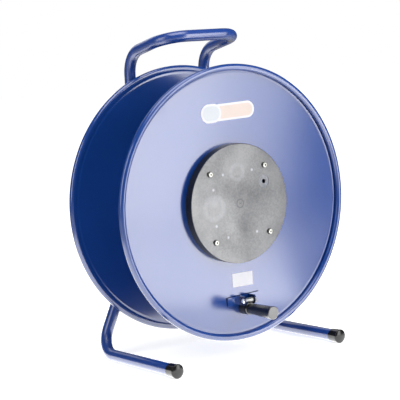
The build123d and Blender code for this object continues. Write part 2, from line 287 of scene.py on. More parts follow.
def bent_tube_tree():
    """A round tube along a line of points, with every corner bent to one radius."""
    tree, wiring, source, target = new_tree(
        "Bent tube",
        "GeometryNodeTree",
        [
            ("Corners", "NodeSocketGeometry", None),
            ("Bend Radius", "NodeSocketFloat", 0.035),
            ("Bend Steps", "NodeSocketInt", 24),
            ("Tube Radius", "NodeSocketFloat", 0.008),
            ("Tube Steps", "NodeSocketInt", 48),
            ("Crease Angle", "NodeSocketFloat", CREASE),
            ("Material", "NodeSocketMaterial", None),
        ],
        [("Tube", "NodeSocketGeometry")],
    )
    line = wiring.add("GeometryNodeMeshToCurve", {"Mesh": source.outputs["Corners"]})
    bent = wiring.add(
        "GeometryNodeFilletCurve",
        {
            "Curve": line.outputs[0],
            "Count": source.outputs["Bend Steps"],
            "Radius": source.outputs["Bend Radius"],
        },
        mode="POLY",
    )
    section = wiring.add(
        "GeometryNodeCurvePrimitiveCircle",
        {"Resolution": source.outputs["Tube Steps"], "Radius": source.outputs["Tube Radius"]},
        mode="RADIUS",
    )
    tube = wiring.add(
        "GeometryNodeCurveToMesh",
        {"Curve": bent.outputs[0], "Profile Curve": section.outputs["Curve"], "Fill Caps": True},
    )
    finish_tree(wiring, tube.outputs[0], source, target)
    return tree


def screw_circle_tree():
    """Screw heads on a circle, on the drum's front and, turned over, on its back."""
    tree, wiring, source, target = new_tree(
        "Screw circle",
        "GeometryNodeTree",
        [
            ("Head", "NodeSocketGeometry", None),
            ("Count", "NodeSocketInt", 4),
            ("Circle Radius", "NodeSocketFloat", 0.0658),
            ("First Angle", "NodeSocketFloat", radians(45)),
            ("Drum Depth", "NodeSocketFloat", 0.14),
            ("Crease Angle", "NodeSocketFloat", CREASE),
            ("Material", "NodeSocketMaterial", None),
        ],
        [("Screws", "NodeSocketGeometry")],
    )
    circle = wiring.add(
        "GeometryNodeMeshCircle",
        {"Vertices": source.outputs["Count"], "Radius": source.outputs["Circle Radius"]},
    )
    turn = wiring.add("ShaderNodeCombineXYZ", {2: source.outputs["First Angle"]})
    turned = wiring.add(
        "GeometryNodeTransform",
        {"Geometry": circle.outputs[0], "Rotation": turn.outputs[0]},
    )
    front = wiring.add(
        "GeometryNodeInstanceOnPoints",
        {"Points": turned.outputs[0], "Instance": source.outputs["Head"]},
    )
    behind = wiring.add(
        "ShaderNodeCombineXYZ", {2: wiring.math("MULTIPLY", source.outputs["Drum Depth"], -1.0)}
    )
    back = wiring.add(
        "GeometryNodeTransform",
        {
            "Geometry": front.outputs[0],
            "Translation": behind.outputs[0],
            "Rotation": (pi, 0.0, 0.0),
        },
    )
    both = wiring.add("GeometryNodeJoinGeometry")
    for part in (back, front):
        tree.links.new(part.outputs[0], both.inputs[0])
    solid = wiring.add("GeometryNodeRealizeInstances", {"Geometry": both.outputs[0]})
    finish_tree(wiring, solid.outputs[0], source, target)
    return tree


# Surface groups and materials


def grain_group():
    """Fine grain and soft clouds, for tone, roughness and a little relief on any finish."""
    tree, wiring, source, target = new_tree(
        "Grain and clouds",
        "ShaderNodeTree",
        [
            ("Vector", "NodeSocketVector", None),
            ("Grain Scale", "NodeSocketFloat", 600.0),
            ("Cloud Scale", "NodeSocketFloat", 12.0),
            ("Roughness", "NodeSocketFloat", 0.3),
            ("Roughness Spread", "NodeSocketFloat", 0.1),
            ("Tone Spread", "NodeSocketFloat", 0.1),
        ],
        [(label, "NodeSocketFloat") for label in ("Tone", "Roughness", "Height")],
    )
    place = source.outputs["Vector"]
    grain = wiring.add(
        "ShaderNodeTexNoise",
        {"Vector": place, "Scale": source.outputs["Grain Scale"], "Detail": 3.0},
    )
    clouds = wiring.add(
        "ShaderNodeTexNoise",
        {"Vector": place, "Scale": source.outputs["Cloud Scale"], "Detail": 4.0, "Roughness": 0.6},
    )
    mixed = wiring.math(
        "ADD",
        wiring.math("MULTIPLY", grain.outputs[0], 0.35),
        wiring.math("MULTIPLY", clouds.outputs[0], 0.65),
    )
    swing = wiring.math("SUBTRACT", mixed, 0.5)
    tone = wiring.math("MULTIPLY", swing, source.outputs["Tone Spread"])
    rough = wiring.math("MULTIPLY", swing, source.outputs["Roughness Spread"])
    results = (
        wiring.math("ADD", wiring.math("MULTIPLY", tone, 2.0), 1.0),
        wiring.math(
            "ADD", wiring.math("MULTIPLY", rough, 2.0), source.outputs["Roughness"], clamp=True
        ),
        grain.outputs[0],
    )
    for socket, result in zip(target.inputs, results):
        tree.links.new(result, socket)
    return tree


def spot_group():
    """A soft round spot or ring on a flat face: 1 on it and 0 away from it."""
    tree, wiring, source, target = new_tree(
        "Moulding spot",
        "ShaderNodeTree",
        [
            ("Vector", "NodeSocketVector", None),
            ("Centre", "NodeSocketVector", None),
            ("Radius", "NodeSocketFloat", 0.0),
            ("Half Width", "NodeSocketFloat", 0.001),
            ("Softness", "NodeSocketFloat", 0.8),
        ],
        [("Mask", "NodeSocketFloat")],
    )
    offset = wiring.vector("SUBTRACT", source.outputs["Vector"], source.outputs["Centre"])
    flat = wiring.vector("MULTIPLY", offset.outputs[0], (1.0, 0.0, 1.0))
    distance = wiring.vector("LENGTH", flat.outputs[0]).outputs["Value"]
    away = wiring.math(
        "ABSOLUTE", wiring.math("SUBTRACT", distance, source.outputs["Radius"])
    )
    share = wiring.math("DIVIDE", away, source.outputs["Half Width"])
    flat_part = wiring.math("SUBTRACT", 1.0, source.outputs["Softness"])
    tree.links.new(wiring.step(share, flat_part, 1.0, 1.0, 0.0), target.inputs[0])
    return tree


class Finish:
    """A Principled material with its object coordinates and the shared grain, ready for marks."""

    FILM_IOR = 1.65
    RELIEF_STRENGTH = 0.3

    def __init__(self, name, colour, roughness, spread=0.05, tone=0.04, grain=600.0, clouds=12.0,
                 relief=0.0, metal=0.0, ior=1.5, coat=0.0):
        self.material = bpy.data.materials.new(name)
        self.tree, self.wiring = cleared(self.material)
        self.place = self.wiring.add("ShaderNodeTexCoord").outputs["Object"]
        surface = self.wiring.add(
            "ShaderNodeGroup",
            {
                "Vector": self.place,
                "Grain Scale": grain,
                "Cloud Scale": clouds,
                "Roughness": roughness,
                "Roughness Spread": spread,
                "Tone Spread": tone,
            },
            node_tree=group_once("Grain and clouds", grain_group),
        )
        self.tone = surface.outputs["Tone"]
        self.rough = surface.outputs["Roughness"]
        self.height = surface.outputs["Height"]
        self.colour = colour
        self.shader = self.wiring.add(
            "ShaderNodeBsdfPrincipled", {"Metallic": metal, "IOR": ior}
        )
        self.relief = relief
        self.coat = coat
        self.shader.inputs["Coat IOR"].default_value = self.FILM_IOR
        self.shader.inputs["Coat Roughness"].default_value = roughness
        self.shader.inputs["Coat Weight"].default_value = coat

    def noise(self, scale, detail):
        """A noise of its own on the piece."""
        return self.wiring.add(
            "ShaderNodeTexNoise", {"Vector": self.place, "Scale": scale, "Detail": detail}
        ).outputs[0]

    def depth(self):
        """How far back a point of the piece is."""
        return self.wiring.add("ShaderNodeSeparateXYZ", {0: self.place}).outputs[1]

    def glaze(self, mask, amount):
        """Adds to the clear film, or takes from it, where a mask is 1."""
        self.coat = self.wiring.math(
            "ADD", self.coat, self.wiring.math("MULTIPLY", mask, amount), clamp=True
        )

    def lighten(self, mask, amount):
        """Makes the tone lighter, or darker with a negative amount, where a mask is 1."""
        self.tone = self.wiring.math(
            "ADD", self.tone, self.wiring.math("MULTIPLY", mask, amount)
        )

    def polish(self, mask, amount):
        """Makes the surface rougher, or smoother with a negative amount, where a mask is 1."""
        self.rough = self.wiring.math(
            "ADD", self.rough, self.wiring.math("MULTIPLY", mask, amount), clamp=True
        )

    def spot(self, centre, radius, half_width, softness=0.8):
        """The mask of a soft round spot or ring."""
        node = self.wiring.add(
            "ShaderNodeGroup",
            {
                "Vector": self.place,
                "Centre": centre,
                "Radius": radius,
                "Half Width": half_width,
                "Softness": softness,
            },
            node_tree=group_once("Moulding spot", spot_group),
        )
        return node.outputs[0]

    def done(self):
        """Joins tone, roughness and relief to the shader and gives the material."""
        tinted = self.wiring.vector("SCALE", tuple(self.colour)[:3])
        self.tree.links.new(self.tone, tinted.inputs["Scale"])
        self.tree.links.new(tinted.outputs[0], self.shader.inputs["Base Color"])
        self.tree.links.new(self.rough, self.shader.inputs["Roughness"])
        if isinstance(self.coat, bpy.types.NodeSocket):
            self.tree.links.new(self.coat, self.shader.inputs["Coat Weight"])
        if self.relief:
            bump = self.wiring.add(
                "ShaderNodeBump",
                {
                    "Strength": self.RELIEF_STRENGTH,
                    "Distance": self.relief,
                    "Height": self.height,
                },
            )
            self.tree.links.new(bump.outputs[0], self.shader.inputs["Normal"])
        output = self.wiring.add("ShaderNodeOutputMaterial")
        self.tree.links.new(self.shader.outputs[0], output.inputs["Surface"])
        return self.material


def dress(piece, material):
    """Gives a piece its one material."""
    piece.data.materials.clear()
    piece.data.materials.append(material)


# Settings


def measure(name, description, default):
    """A length that a user may change."""
    return FloatProperty(
        name=name, description=description, unit="LENGTH", subtype="DISTANCE", default=default
    )


def shade(name, description, default):
    """A colour that a user may change."""
    return FloatVectorProperty(
        name=name, description=description, subtype="COLOR", size=3, min=0, max=1, default=default
    )


def power(name, description, default):
    """A lamp's power that a user may change."""
    return FloatProperty(
        name=name, description=description, subtype="POWER", unit="POWER", default=default
    )


class ReelPaintSettings(bpy.types.PropertyGroup):
    """Blue enamel on the drum and the stand"""

    colour: shade("Enamel", "Colour of the blue enamel", (0.007, 0.045, 0.225))
    roughness: FloatProperty(
        name="Roughness", description="How blurred the enamel's reflections are",
        min=0, max=1, default=0.17,
    )
    gloss: FloatProperty(
        name="Gloss", description="Refractive index of the enamel, higher mirrors more",
        min=1, max=3, default=1.75,
    )
    tube_colour: shade(
        "Tube enamel", "Colour of the enamel on the stand's tube", (0.009, 0.046, 0.24)
    )
    tube_roughness: FloatProperty(
        name="Tube roughness", description="How blurred the tube's reflections are",
        min=0, max=1, default=0.25,
    )


class ReelPlasticSettings(bpy.types.PropertyGroup):
    """Hub plates, grip and foot caps"""

    hub: shade("Hub plates", "Colour of the hub plates", (0.03, 0.032, 0.039))
    grip: shade("Grip", "Colour of the crank's grip", (0.006, 0.006, 0.007))
    cap: shade("Foot caps", "Colour of the foot caps", (0.008, 0.008, 0.008))


class ReelSteelSettings(bpy.types.PropertyGroup):
    """Zinc plated and blackened steel, and the screws in the hub plates"""

    # Painted light and shade: the pin and the barrel are the same zinc, made lighter and darker
    pin: shade("Pin", "Colour of the bright pin", (0.82, 0.84, 0.88))
    barrel: shade("Barrel", "Colour of the hinge's barrel", (0.24, 0.245, 0.235))
    zinc: shade("Zinc", "Colour of the plated steel", (0.42, 0.42, 0.41))
    screw: shade("Screws' steel", "Colour of the hub plates' screws", (0.3, 0.3, 0.275))
    screw_count: IntProperty(
        name="Screws", description="Screws round each hub plate", min=1, max=16, default=4,
    )
    screw_circle: measure("Screw circle", "Radius of the circle that the screws lie on", 0.0658)
    head_radius: measure("Head radius", "Radius of a screw's head", 0.0034)
    head_rise: measure("Head height", "Height of a screw's head over the plate", 0.003)


class ReelTubeSettings(bpy.types.PropertyGroup):
    """Bends of the stand's tube"""

    radius: measure("Tube radius", "Outer radius of the tube", 0.008)
    bend: measure("Bend radius", "Radius of the bends, at the tube's middle", 0.035)
    upright: measure("Upright spacing", "Half the distance between the uprights", 0.0645)
    splay_drop: measure("Splay drop", "How far under the axle the uprights start to spread", 0.0456)
    handle_rise: measure(
        "Handle rise", "How far the handle's bar stands over its rear bends", 0.0215
    )
    handle_reach: measure(
        "Handle reach", "How far ahead of the drum's middle the handle's bar is", 0.0084
    )


class ReelSheetSettings(bpy.types.PropertyGroup):
    """Rolled edge and pressed ring of the flanges"""

    sheet: measure("Sheet", "Thickness of the flanges' steel", 0.0012)
    curl: measure("Curl radius", "Outer radius of the rolled edge", 0.0046)
    ring_inset: measure("Ring inset", "Distance of the pressed ring from the flange's edge", 0.0093)
    ring_width: measure("Ring width", "Width of the pressed ring", 0.006)
    ring_rise: measure("Ring rise", "How far the ring is pressed outwards", 0.00035)
    hole: measure("Hub hole", "Radius of the hole behind the hub plate", 0.055)


class ReelLabelSettings(bpy.types.PropertyGroup):
    """Two plain stickers without print"""

    colour: shade("Sticker", "Colour of the stickers", (0.7, 0.7, 0.74))
    tint: shade("Field", "Colour of the long sticker's inner field", (0.64, 0.55, 0.505))
    badge: shade("Badge", "Colour of the long sticker's round end", (0.57, 0.6, 0.635))
    long_length: measure("Long sticker", "Length of the rounded sticker over the hub", 0.0905)
    long_height: measure("Long sticker height", "Height of the rounded sticker", 0.023)
    short_length: measure("Short sticker", "Length of the sticker over the crank", 0.035)
    short_height: measure("Short sticker height", "Height of the sticker over the crank", 0.019)


class ReelStageSettings(bpy.types.PropertyGroup):
    """Camera, floor and lights"""

    azimuth: FloatProperty(
        name="Azimuth", description="Camera's place round the reel, 0 in front of the crank",
        subtype="ANGLE", default=radians(-35.5925),
    )
    elevation: FloatProperty(
        name="Elevation", description="Camera's angle above the horizon",
        subtype="ANGLE", default=radians(6.4739),
    )
    roll: FloatProperty(
        name="Roll", description="Camera's turn about its own view direction",
        subtype="ANGLE", default=radians(-3.056),
    )
    distance: measure("Distance", "Distance of the camera from the drum's middle", 2.0206)
    lens: FloatProperty(
        name="Lens", description="Focal length on a 36 mm sensor", unit="CAMERA", default=129.558,
    )
    softbox: power("Softbox", "Power of the large softbox ahead on the right", 15.6)
    table: power("Table", "Power of the table's glow that only reflections show", 4.7)
    card: power("Floor card", "Power of the glow on the floor ahead on the right", 5.6)
    back: power("Back light", "Power of the panel behind that only reflections show", 5.3)
    side: power("Side light", "Power of the light on the left", 12.0)
    top: power("Top light", "Power of the light overhead", 24.0)
    fill: FloatProperty(
        name="Fill", description="Brightness of the room's even light", min=0, default=0.3,
    )


# Pieces


def turned_piece(name, section, steps, matrix, material):
    """A piece of revolution from (radius, height) points, set in place by a matrix."""
    piece = object_from_line(name, [(radius, height, 0.0) for radius, height in section])
    grow(
        piece,
        group_once("Turned section", turned_section_tree),
        {"Section Points": len(section), "Ring Steps": steps, "Material": material},
    )
    return settle(piece, matrix)


def stand_for(piece, body, node):
    """Puts a piece on its body and hides the solid whose place it takes."""
    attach(piece, body)
    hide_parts(node)


def arc(centre, radius, first, last, steps):
    """Points round an arc, angles in degrees, both ends included."""
    angles = [radians(first + (last - first) * step / steps) for step in range(steps + 1)]
    return [(centre[0] + radius * cos(a), centre[1] + radius * sin(a)) for a in angles]


def flange_section(sizes):
    """The flange's closed half section, its heights measured from the drum's middle."""
    inner, outer = INNER_FACE, INNER_FACE + sizes.sheet
    curl_centre = (FLANGE_RADIUS - sizes.curl, INNER_FACE + sizes.curl)
    ring = FLANGE_RADIUS - sizes.ring_inset
    ring_steps, curl_steps = 12, 48
    curl_start, curl_end = -90, 215
    # A point just inside the ring keeps the flat field's shading flat
    hold = 0.0003

    def pressed(face):
        """The pressed ring's rounded line on one face."""
        line = [(ring - sizes.ring_width / 2 - hold, face)]
        for step in range(ring_steps + 1):
            share = step / ring_steps
            rise = sizes.ring_rise * sin(pi * share) ** 2
            line.append((ring + sizes.ring_width * (share - 0.5), face + rise))
        return line

    section = [(sizes.hole, inner), *pressed(inner)]
    section += arc(curl_centre, sizes.curl, curl_start, curl_end, curl_steps)
    section += arc(curl_centre, sizes.curl - sizes.sheet, curl_end, curl_start, curl_steps)
    section += reversed(pressed(outer))
    section += [(sizes.hole, outer), (sizes.hole, inner)]
    return section


def enamel_finish(settings, name, colour=None, roughness=None, relief=0.00004):
    """The blue enamel with a few duller stains, ready for marks."""
    finish = Finish(
        name, colour or settings.colour, roughness or settings.roughness, tone=0.08, grain=900.0,
        clouds=9.0, relief=relief, ior=settings.gloss,
    )
    finish.shader.inputs["Specular Tint"].default_value = (1.0, 0.985, 0.985, 1.0)
    stains = finish.wiring.step(finish.noise(16.0, 2.0), 0.66, 0.8)
    finish.polish(stains, 0.06)
    return finish


def enamel(settings):
    """The blue enamel, made once."""
    found = bpy.data.materials.get("blue_enamel")
    return found or enamel_finish(settings, "blue_enamel").done()


def black_oxide_and_shade():
    """The blackened steel, made once; the screws' painted shade uses it too"""
    found = bpy.data.materials.get("black_oxide_and_shade")
    return found or Finish(
        "black_oxide_and_shade", (0.012, 0.012, 0.014), 0.4, spread=0.1, tone=0.3, grain=1200.0,
        clouds=80.0, relief=0.00003,
    ).done()


def plated(name, colour):
    """Plated steel in one shade."""
    return Finish(
        name, colour, 0.42, spread=0.1, tone=0.12, grain=1500.0, clouds=120.0, relief=0.00001,
        metal=1.0,
    ).done()


def sticker(name, colour, tone, clouds):
    """A sticker's film in one shade."""
    return Finish(
        name, colour, 0.5, spread=0.08, tone=tone, grain=800.0, clouds=clouds, ior=1.2
    ).done()


def rounded_outline(length, height, corner, steps=10):
    """Points round a rectangle with rounded corners, about its middle."""
    points = []
    for x, y, first in ((1, 1, 0), (-1, 1, 90), (-1, -1, 180), (1, -1, 270)):
        centre = (x * (length / 2 - corner), y * (height / 2 - corner))
        points += arc(centre, corner, first, first + 90, steps)
    return points


def sheet_piece(name, outline, matrix, material, thickness=0.00015):
    """A thin closed sheet from an outline, just clear of the flange, that rides on the drum."""
    clearance = 0.00002
    shell = bmesh.new()
    lower = [shell.verts.new((x, y, clearance)) for x, y in outline]
    upper = [shell.verts.new((x, y, thickness)) for x, y in outline]
    shell.faces.new(upper)
    shell.faces.new(list(reversed(lower)))
    for index in range(len(outline)):
        after = (index + 1) % len(outline)
        shell.faces.new((lower[index], lower[after], upper[after], upper[index]))
    mesh = bpy.data.meshes.new(name)
    shell.to_mesh(mesh)
    shell.free()
    piece = settle(add_object(name, mesh), matrix)
    mesh.materials.append(material)
    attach(piece, "drum")
    return piece


class REEL_OT_flanges(bpy.types.Operator):
    """Makes both flanges with a smooth rolled edge and a pressed ring"""

    bl_idname = "reel.flanges"
    bl_label = "Flanges"

    def execute(self, context):
        scene = context.scene
        paint = enamel(scene.reel_paint)
        section = flange_section(scene.reel_sheet)
        for name, node, side in (
            ("drum_front", "front_flange", 1.0),
            ("drum_rear", "rear_flange", -1.0),
        ):
            piece = turned_piece(name, section, 256, disc_matrix(0.0, side=side), paint)
            stand_for(piece, "drum", node)
        return {"FINISHED"}


class REEL_OT_tube(bpy.types.Operator):
    """Makes the stand's tube with smooth bends, and its two foot caps"""

    bl_idname = "reel.tube"
    bl_label = "Stand tube and foot caps"

    def execute(self, context):
        scene = context.scene
        sizes = scene.reel_tube
        settings = scene.reel_paint
        paint = enamel_finish(
            settings, "tube_enamel", settings.tube_colour, settings.tube_roughness, 0.000008
        ).done()
        back = TUBE_HIGH.y - sizes.radius
        bar_height = TUBE_HIGH.z - sizes.radius
        toe = TUBE_LOW.y
        slope = (CAP_RADIUS - sizes.radius) / (back - sizes.bend - toe)
        half = [
            (sizes.upright, DRUM_CENTRE.y - sizes.handle_reach, bar_height),
            (sizes.upright, back, bar_height - sizes.handle_rise),
            (sizes.upright, back, DRUM_CENTRE.z - sizes.splay_drop),
            (LEG_SPREAD, back, sizes.radius - slope * sizes.bend),
            (LEG_SPREAD, toe, CAP_RADIUS),
        ]
        corners = [(-x, y, z) for x, y, z in reversed(half)] + half
        tube = object_from_line("stand_tube", corners)
        grow(
            tube,
            bent_tube_tree(),
            {"Bend Radius": sizes.bend, "Tube Radius": sizes.radius, "Material": paint},
        )
        settle(tube, Matrix.Identity(4))
        stand_for(tube, "stand", "frame_tube")

        caps = Finish(
            "foot_cap_plastic", scene.reel_plastic.cap, 0.16, spread=0.06, tone=0.2,
            grain=1200.0, clouds=60.0, relief=0.00002, ior=1.38,
        ).done()
        dome, dome_steps = 0.003, 24
        sleeve = CAP_HIGH.y - CAP_LOW.y - dome
        mouth = CAP_RADIUS - 0.0009
        floor = -0.0005
        quarter = [radians(90 * step / dome_steps) for step in range(dome_steps + 1)]
        section = [(CAP_RADIUS * sin(a), dome * cos(a)) for a in quarter]
        section += [
            (CAP_RADIUS - 0.0002, -0.0014), (mouth, -sleeve * 0.97), (mouth - 0.0004, -sleeve),
            (sizes.radius, -sleeve), (sizes.radius, floor), (0.0, floor),
        ]
        out = Vector((0.0, -1.0, slope)).normalized()
        across = Vector((1.0, 0.0, 0.0))
        axes = Matrix((across, out.cross(across), out)).transposed().to_4x4()
        for name, node, side in (
            ("cap_left", "foot_cap_left", -1.0),
            ("cap_right", "foot_cap_right", 1.0),
        ):
            place = Matrix.Translation((side * LEG_SPREAD, toe, CAP_RADIUS)) @ axes
            cap = turned_piece(name, section, 72, place, caps)
            stand_for(cap, "stand", node)
        return {"FINISHED"}


class REEL_OT_painted_parts(bpy.types.Operator):
    """Paints the barrel, the axle plate and the crank's bracket, and lays painted shade along it"""

    bl_idname = "reel.painted_parts"
    bl_label = "Painted parts"

    def execute(self, context):
        settings = context.scene.reel_paint
        for name in ("core_barrel", "axle_plate"):
            dress(frame["nodes"][name], enamel(settings))
        # Painted shade: the bracket's ears are made darker than its strip, away from the flange
        finish = enamel_finish(settings, "bracket_enamel")
        flange_face = DRUM_CENTRE.y - INNER_FACE
        ear_foot, ear_full_shade = 0.0035, 0.0075
        ear_shade_mask = finish.wiring.step(
            finish.depth(), flange_face - ear_full_shade, flange_face - ear_foot, 1.0, 0.0
        )
        finish.lighten(ear_shade_mask, -0.75)
        dress(frame["nodes"]["crank_bracket"], finish.done())
        # Painted shade: a dark sheet shows past the strip, above it and on its left, for the shade
        # along its edges
        edge_shade = Finish(
            "bracket_painted_shade", (0.002, 0.004, 0.02), 0.9, tone=0.2, grain=900.0, clouds=60.0, ior=1.05
        ).done()
        edge, strip_length, strip_width, strip_drop = 0.0007, 0.056, 0.0125, 0.1348
        face = disc_matrix(INNER_FACE + context.scene.reel_sheet.sheet)
        sheet_piece(
            "bracket_painted_shade",
            rounded_outline(strip_length, strip_width, 0.001, 4),
            face @ Matrix.Translation((-edge, edge - strip_drop, 0.0)),
            edge_shade,
            thickness=0.0003,
        )
        return {"FINISHED"}


class REEL_OT_hub_plates(bpy.types.Operator):
    """Finishes the moulded hub plates: clouds, moulding rings, painted pip glints, sheen and shade
    """

    bl_idname = "reel.hub_plates"
    bl_label = "Hub plates"

    def execute(self, context):
        finish = Finish(
            "hub_moulding", context.scene.reel_plastic.hub, 0.3, spread=0.08, tone=0.5,
            grain=700.0, clouds=22.0, relief=0.00002, coat=0.6,
        )
        wiring = finish.wiring

        def on_plate(x, z):
            """A point of the plate, from its middle."""
            return DRUM_CENTRE + Vector((x, 0.0, z))

        # Cloudy patches and fine specks in the film: scale, detail, low, high, amount
        for scale, detail, low, high, amount in (
            (17.0, 5.0, 0.35, 0.65, 0.22),
            (420.0, 2.0, 0.3, 0.7, 0.16),
        ):
            finish.glaze(wiring.step(finish.noise(scale, detail), low, high, -1.0, 1.0), amount)
        # Painted sheen: broad patches with more or less clear film brighten and dim the reflection
        # in places
        for x, z, reach, amount in (
            (0.02, 0.0, 0.046, -0.36), (-0.012, 0.018, 0.026, -0.26), (0.008, -0.03, 0.026, -0.3),
            (-0.04, -0.015, 0.045, 0.3), (0.0, 0.05, 0.035, 0.3),
        ):
            finish.glaze(finish.spot(on_plate(x, z), 0.0, reach), amount)
        # Painted shade: the plate's side is made darker and duller than its face
        from_middle = wiring.math("SUBTRACT", finish.depth(), DRUM_CENTRE.y)
        from_middle = wiring.math("ABSOLUTE", from_middle)
        side_edge, face_edge = 0.0009, 0.0002
        side = wiring.step(from_middle, PLATE_FACE - side_edge, PLATE_FACE - face_edge, 1.0, 0.0)
        finish.glaze(side, -0.8)
        finish.lighten(side, -0.6)
        # Painted highlights: pale spots on a circle, where small moulded pips catch the light
        pip_circle, pip_radius, pip_glint = 0.0496, 0.0028, 5.0
        for degrees in (60.0, 120.0, 150.0, 210.0, 240.0, 300.0):
            angle = radians(degrees) + DRUM_TURN
            centre = on_plate(pip_circle * cos(angle), pip_circle * sin(angle))
            finish.lighten(finish.spot(centre, 0.0, pip_radius), pip_glint)
        # Pale rings and patches, and the ring round the small hole
        for x, z, radius, half_width, softness, amount in (
            (-0.044, -0.002, 0.015, 0.006, 0.9, 0.95),
            (-0.045, 0.006, 0.0, 0.012, 0.9, 1.1),
            (-0.0028, 0.0434, 0.0105, 0.0045, 0.9, 0.7),
            (0.04295, 0.0264, 0.0, 0.0094, 0.15, 2.6),
        ):
            finish.lighten(finish.spot(on_plate(x, z), radius, half_width, softness), amount)
        # The dark ring at the middle
        ring_radius, ring_half_width = 0.0056, 0.0014
        finish.glaze(finish.spot(DRUM_CENTRE, ring_radius, ring_half_width), -0.5)
        moulding = finish.done()
        for name in ("front_hub_plate", "rear_hub_plate"):
            dress(frame["nodes"][name], moulding)
        return {"FINISHED"}


class REEL_OT_screws(bpy.types.Operator):
    """Puts a circle of screws into each hub plate, with painted shade in their sockets and under
    their heads
    """

    bl_idname = "reel.screws"
    bl_label = "Hub screws"

    def execute(self, context):
        sizes = context.scene.reel_steel
        steel = Finish(
            "screw_steel", sizes.screw, 0.38, spread=0.1, tone=0.2, grain=1500.0, clouds=150.0,
            relief=0.00001, metal=1.0,
        ).done()
        radius, rise = sizes.head_radius, sizes.head_rise
        socket, rounding, socket_floor = radius * 0.36, radius * 0.16, rise * 0.4
        head = [(0.0, socket_floor), (socket, socket_floor), (socket, rise)]
        head += arc((radius - rounding, rise - rounding), rounding, 90, 0, 6)
        head += [(radius, 0.0), (0.0, 0.0)]
        # Painted shade: a dark lining in the socket, and a dark shadow ring under the head
        socket_shade, socket_shade_top, rim, flat = socket * 0.98, rise * 0.6, radius + 0.0008, 0.0003
        under = [
            (0.0, socket_shade_top), (socket_shade, socket_shade_top), (socket_shade, flat), (rim, flat), (rim, 0.0),
            (0.0, 0.0),
        ]
        circle = screw_circle_tree()
        for name, section, material, slot in (
            ("hub_screws", head, steel, "zinc_steel"),
            ("hub_screw_shade", under, black_oxide_and_shade(), "black_steel"),
        ):
            screws = turned_piece(name, section, 28, Matrix.Identity(4), material)
            grow(
                screws,
                circle,
                {
                    "Count": sizes.screw_count,
                    "Circle Radius": sizes.screw_circle,
                    "Drum Depth": 2 * PLATE_FACE,
                    "Material": material,
                },
            )
            settle(screws, disc_matrix(PLATE_FACE))
            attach(screws, "drum")
        return {"FINISHED"}


class REEL_OT_crank(bpy.types.Operator):
    """Finishes the crank's foot, hinge, spindle and grip, and the axle's steel parts"""

    bl_idname = "reel.crank"
    bl_label = "Crank and axle"

    def execute(self, context):
        scene = context.scene
        steel = scene.reel_steel
        zinc = plated("zinc_plate", steel.zinc)
        for name in (
            "spindle", "axle", "axle_spacer", "retaining_ring", "axle_washer", "axle_nut",
        ):
            dress(frame["nodes"][name], zinc)
        # Painted light and shade: pin and barrel are the same zinc, the pin made lighter, the
        # barrel darker
        dress(frame["nodes"]["pivot_pin"], plated("zinc_painted_light", steel.pin))
        dress(frame["nodes"]["hinge_barrel"], plated("zinc_painted_shade", steel.barrel))
        dress(frame["nodes"]["crank_foot"], black_oxide_and_shade())
        moulding = Finish(
            "grip_moulding", scene.reel_plastic.grip, 0.24, spread=0.08, tone=0.3, grain=1100.0,
            clouds=70.0, relief=0.00002, ior=1.72,
        ).done()
        dress(frame["nodes"]["grip"], moulding)
        dress(frame["nodes"]["grip_cap"], moulding)
        return {"FINISHED"}


class REEL_OT_labels(bpy.types.Operator):
    """Puts the two plain stickers on the front flange"""

    bl_idname = "reel.labels"
    bl_label = "Stickers"

    def execute(self, context):
        sizes = context.scene.reel_label
        film = sticker("sticker_white", sizes.colour, 0.04, 40.0)
        field = sticker("sticker_field", sizes.tint, 0.06, 30.0)
        badge = sticker("sticker_badge", sizes.badge, 0.06, 30.0)
        face = INNER_FACE + context.scene.reel_sheet.sheet

        def spot_on_flange(x, z, degrees):
            """A place on the flange, from its middle, turned a little."""
            place = disc_matrix(face, turn=radians(degrees))
            place.translation = place.translation + Vector((x, 0.0, z))
            return place

        place = spot_on_flange(-0.0037, 0.1256, 1.8)
        length, height = sizes.long_length, sizes.long_height
        end_length = 0.034
        end_shift = (end_length - length) / 2
        layer = 0.00009
        for name, wide, high, shift, level, colour in (
            ("label_long", length, height, 0.0, 0, film),
            ("label_round", end_length, height + 0.0025, end_shift, 2, film),
            ("label_field", length - 0.029, height - 0.0055, 0.0118, 1, field),
            ("label_badge", 0.0285, height - 0.0035, end_shift, 3, badge),
        ):
            sheet_piece(
                name,
                rounded_outline(wide, high, high / 2 - 0.0001),
                place @ Matrix.Translation((shift, 0.0, level * layer)),
                colour,
            )
        sheet_piece(
            "label_short",
            rounded_outline(sizes.short_length, sizes.short_height, 0.0006, 4),
            spot_on_flange(0.0072, -0.107, -0.3),
            film,
        )
        return {"FINISHED"}


# Stage


def area_lamp(name, azimuth, elevation, distance, width, height, watts, lean=0.0, direct=True):
    """A softbox that looks at the drum's middle, or a panel that only reflections show."""
    lamp = bpy.data.lights.new(name, "AREA")
    lamp.shape = "RECTANGLE"
    lamp.size, lamp.size_y = width, height
    lamp.energy = watts
    piece = add_object(name, lamp)
    piece.visible_camera = False
    back = direction(radians(azimuth), radians(elevation))
    piece.location = DRUM_CENTRE + back * distance
    piece.rotation_mode = "QUATERNION"
    roll = Quaternion((0.0, 0.0, 1.0), radians(lean))
    piece.rotation_quaternion = (-back).to_track_quat("-Z", "Y") @ roll
    piece.visible_diffuse = direct
    return piece


